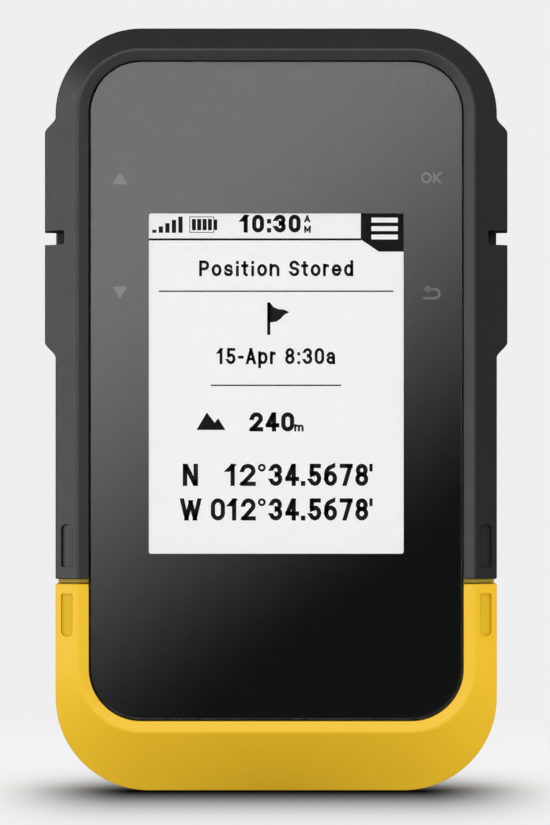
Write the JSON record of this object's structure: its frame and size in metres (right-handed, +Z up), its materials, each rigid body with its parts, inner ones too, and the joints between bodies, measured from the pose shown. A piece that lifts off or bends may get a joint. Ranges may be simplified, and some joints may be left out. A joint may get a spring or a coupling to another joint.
{
  "type": "handheld gps unit",
  "caption": "Rugged handheld satellite navigator with a glass-covered portrait screen, guarded side keys, latched battery cover with D-ring, USB flap and T-shaped mounting rail.",
  "frame": {"origin": "middle of the flat foot, under the centre of the case's overall box", "axes": "+Z up the long side of the case, +X towards the right of the screen as read, the screen faces -Y"},
  "size_m": [0.0616, 0.033, 0.1016],
  "materials": {
    "dark_plastic": "fine satin texture",
    "yellow_plastic": "fine satin texture",
    "black_plastic": "fine moulded texture",
    "black_rubber": "matt",
    "lens_glass": "polished clear",
    "mask_print": "printed black",
    "screen_white": "white display panel",
    "acrylic": "clear",
    "white_plastic": "moulded",
    "board_green": "solder mask",
    "ceramic": "fired ceramic",
    "steel": "satin",
    "nickel": "nickel plated",
    "brass": "satin",
    "cell_jacket": "printed jacket"
  },
  "bodies": {
    "case": {"front_bezel": "dark_plastic", "lower_shell": "yellow_plastic", "front_frame": "black_plastic", "display_lens": "lens_glass", "lens_mask": "mask_print", "lens_gasket": "black_rubber", "lcd_panel": "screen_white", "lcd_light_guide": "acrylic", "lcd_holder": "white_plastic", "main_board": "board_green", "gps_antenna": "ceramic", "radio_shield": "steel", "processor_shield": "steel", "beeper": "brass", "usb_socket": "nickel", "usb_tongue": "black_plastic", "key_board_left": "board_green", "key_board_right": "board_green", "switch_left_lower": "steel", "switch_left_upper": "steel", "switch_right_lower": "steel", "switch_right_upper": "steel", "rear_housing": "black_plastic", "housing_seal": "black_rubber", "case_screw_1": "steel", "case_screw_2": "steel", "case_screw_3": "steel", "case_screw_4": "steel", "contact_plate_left": "nickel", "contact_plate_right": "nickel", "contact_bridge": "nickel", "battery_left": "cell_jacket", "battery_right": "cell_jacket", "battery_spring_left": "nickel", "battery_spring_right": "nickel", "latch_keeper": "brass", "usb_flap_anchor": "black_rubber"},
    "battery_cover": {"battery_cover": "black_plastic", "cover_gasket": "black_rubber"},
    "latch": {"latch_knob": "black_plastic", "latch_seal": "black_rubber", "latch_clip": "steel"},
    "ring": {"latch_ring": "steel"},
    "up_key": {"up_key": "black_rubber"},
    "down_key": {"down_key": "black_rubber"},
    "ok_key": {"ok_key": "black_rubber"},
    "back_key": {"back_key": "black_rubber"},
    "usb_flap": {"usb_flap": "black_rubber"}
  },
  "joints": [
    {"name": "up_key_press", "type": "slide", "parent": "case", "child": "up_key", "axis": [1, 0, 0], "range_m": [0, 0.0006], "stiffness_N_per_m": 300},
    {"name": "down_key_press", "type": "slide", "parent": "case", "child": "down_key", "axis": [1, 0, 0], "range_m": [0, 0.0006], "stiffness_N_per_m": 300},
    {"name": "ok_key_press", "type": "slide", "parent": "case", "child": "ok_key", "axis": [-1, 0, 0], "range_m": [0, 0.0006], "stiffness_N_per_m": 300},
    {"name": "back_key_press", "type": "slide", "parent": "case", "child": "back_key", "axis": [-1, 0, 0], "range_m": [0, 0.0006], "stiffness_N_per_m": 300},
    {"name": "cover_lift", "type": "slide", "parent": "case", "child": "battery_cover", "axis": [0, 1, 0], "range_m": [0, 0.025]},
    {"name": "latch_turn", "type": "hinge", "parent": "battery_cover", "child": "latch", "pos_m": [0, 0.0093, 0.016], "axis": [0, 1, 0], "range_deg": [0, 90]},
    {"name": "ring_fold", "type": "hinge", "parent": "latch", "child": "ring", "pos_m": [0, 0.01025, 0.016], "axis": [1, 0, 0], "range_deg": [0, 90]},
    {"name": "usb_flap_open", "type": "hinge", "parent": "case", "child": "usb_flap", "pos_m": [-0.0085, 0.0065, 0.0929], "axis": [0, 0, 1], "range_deg": [0, 100], "stiffness_Nm_per_rad": 0.001}
  ]
}
